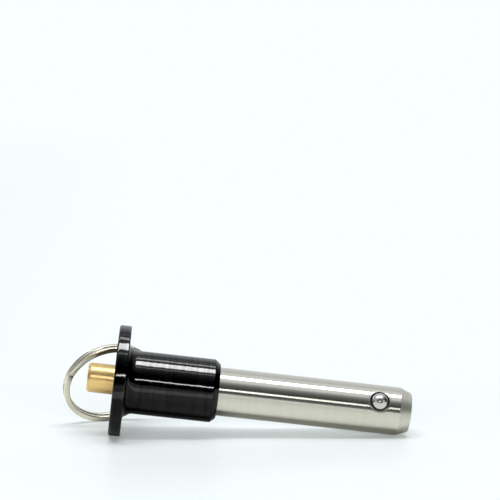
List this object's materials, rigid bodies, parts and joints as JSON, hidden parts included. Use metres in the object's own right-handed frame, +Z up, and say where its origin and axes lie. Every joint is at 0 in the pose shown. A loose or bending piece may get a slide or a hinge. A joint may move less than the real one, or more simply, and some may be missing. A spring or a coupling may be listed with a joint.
{
  "type": "ball lock pin",
  "caption": "Quick-release pin: a steel shank whose lock balls draw in when the brass push button in its black flanged handle is pressed, with a split ring through the flange.",
  "frame": {"origin": "centre of the bounding box on the surface that the pin lies on", "axes": "+Z up from that surface, +X level and towards the nose in plan, with the pin's own axis 6.5 degrees nose-down from +X, and +Y towards the side that the ring leans to"},
  "size_m": [0.0868, 0.034, 0.0274],
  "materials": {
    "black_anodised": "turned aluminium, gloss black anodised, fine turning marks",
    "ground_steel": "stainless steel, cylindrically ground, satin",
    "polished_steel": "polished steel ball",
    "brass": "turned brass, bright",
    "spindle_steel": "turned steel",
    "spring_steel": "stainless spring wire",
    "ring_steel": "flat rolled spring wire, nickel plated"
  },
  "bodies": {
    "pin_body": {"handle": "black_anodised", "shank": "ground_steel", "return_spring": "spring_steel"},
    "plunger": {"button": "brass", "spindle": "spindle_steel"},
    "ball_a": {"lock_ball_a": "polished_steel"},
    "ball_b": {"lock_ball_b": "polished_steel"},
    "ring": {"split_ring": "ring_steel"}
  },
  "joints": [
    {"name": "button_press", "type": "slide", "parent": "pin_body", "child": "plunger", "axis": [0.9936, 0, -0.1128], "range_m": [0, 0.004], "stiffness_N_per_m": 1300, "springref_m": -0.005, "deforming": ["return_spring"]},
    {"name": "ball_a_retract", "type": "slide", "parent": "pin_body", "child": "ball_a", "axis": [-0.0564, 0.866, -0.4968], "range_m": [0, 0.00145]},
    {"name": "ball_b_retract", "type": "slide", "parent": "pin_body", "child": "ball_b", "axis": [0.0564, -0.866, 0.4968], "range_m": [0, 0.00145]},
    {"name": "ring_swing", "type": "hinge", "parent": "pin_body", "child": "ring", "pos_m": [-0.02796, 0.0051, 0.0203], "axis": [0.9936, 0, -0.1128], "range_deg": [-41, 196]}
  ],
  "couplings": [
    {"joint": "ball_a_retract", "follows": "button_press", "ratio": 0.3625},
    {"joint": "ball_b_retract", "follows": "button_press", "ratio": 0.3625}
  ]
}
